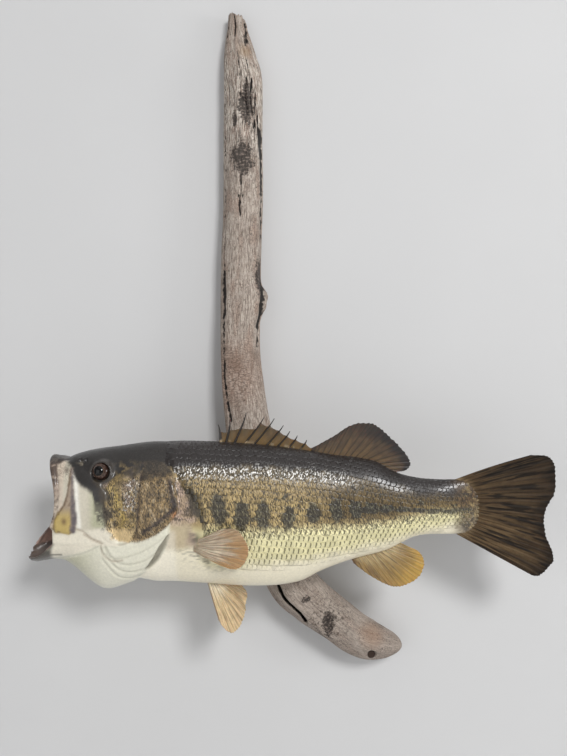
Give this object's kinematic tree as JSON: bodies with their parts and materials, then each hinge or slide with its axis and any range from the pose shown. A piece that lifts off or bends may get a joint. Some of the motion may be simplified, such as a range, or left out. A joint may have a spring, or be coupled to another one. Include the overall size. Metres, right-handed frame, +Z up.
{
  "type": "mounted largemouth bass",
  "caption": "Taxidermy largemouth bass with an open mouth, fixed side-on to an upright curved branch of grey driftwood that hangs on a wall.",
  "frame": {"origin": "point on the flat back of the driftwood, 24 mm below the middle of the hanger", "axes": "+Z up the wall along the branch, +Y into the wall, -Y towards the room, -X the way the fish faces"},
  "size_m": [0.4994, 0.1366, 0.6636],
  "materials": {
    "back": "varnished charcoal-olive skin of head and back",
    "flank": "varnished golden-olive scales over a cream belly",
    "cheek": "varnished golden-brown scaled gill cover",
    "throat": "satin cream skin of jaw and throat",
    "lip": "satin mottled brown lip",
    "eye": "glass eye, dark pupil in a brown iris",
    "dark_fin": "varnished dark brown fin with ribbed rays",
    "pale_fin": "varnished tan fin with ribbed rays",
    "tongue": "satin dull pink",
    "driftwood": "bare weathered grey wood with dark cracks",
    "steel": "plain zinc-plated steel"
  },
  "bodies": {
    "root": {"eye_left": "eye", "eye_right": "eye", "maxilla_left": "lip", "maxilla_right": "lip", "upper_lip": "lip", "gill_cover_left": "cheek", "gill_cover_right": "cheek", "head": "back", "trunk": "flank", "tail_stock": "flank", "lower_jaw": "throat", "throat": "throat", "tongue": "tongue", "mouth_skin_left": "throat", "mouth_skin_right": "throat", "dorsal_fin_spiny": "dark_fin", "dorsal_fin_soft": "dark_fin", "anal_fin": "pale_fin", "tail_fin": "dark_fin", "pectoral_fin_left": "pale_fin", "pelvic_fin_left": "pale_fin", "pectoral_fin_right": "pale_fin", "pelvic_fin_right": "pale_fin", "driftwood": "driftwood", "hanger": "steel", "hanger_nail_left": "steel", "hanger_nail_right": "steel", "body_screw_upper": "steel", "body_screw_lower": "steel", "foot_screw": "steel"}
  },
  "joints": []
}
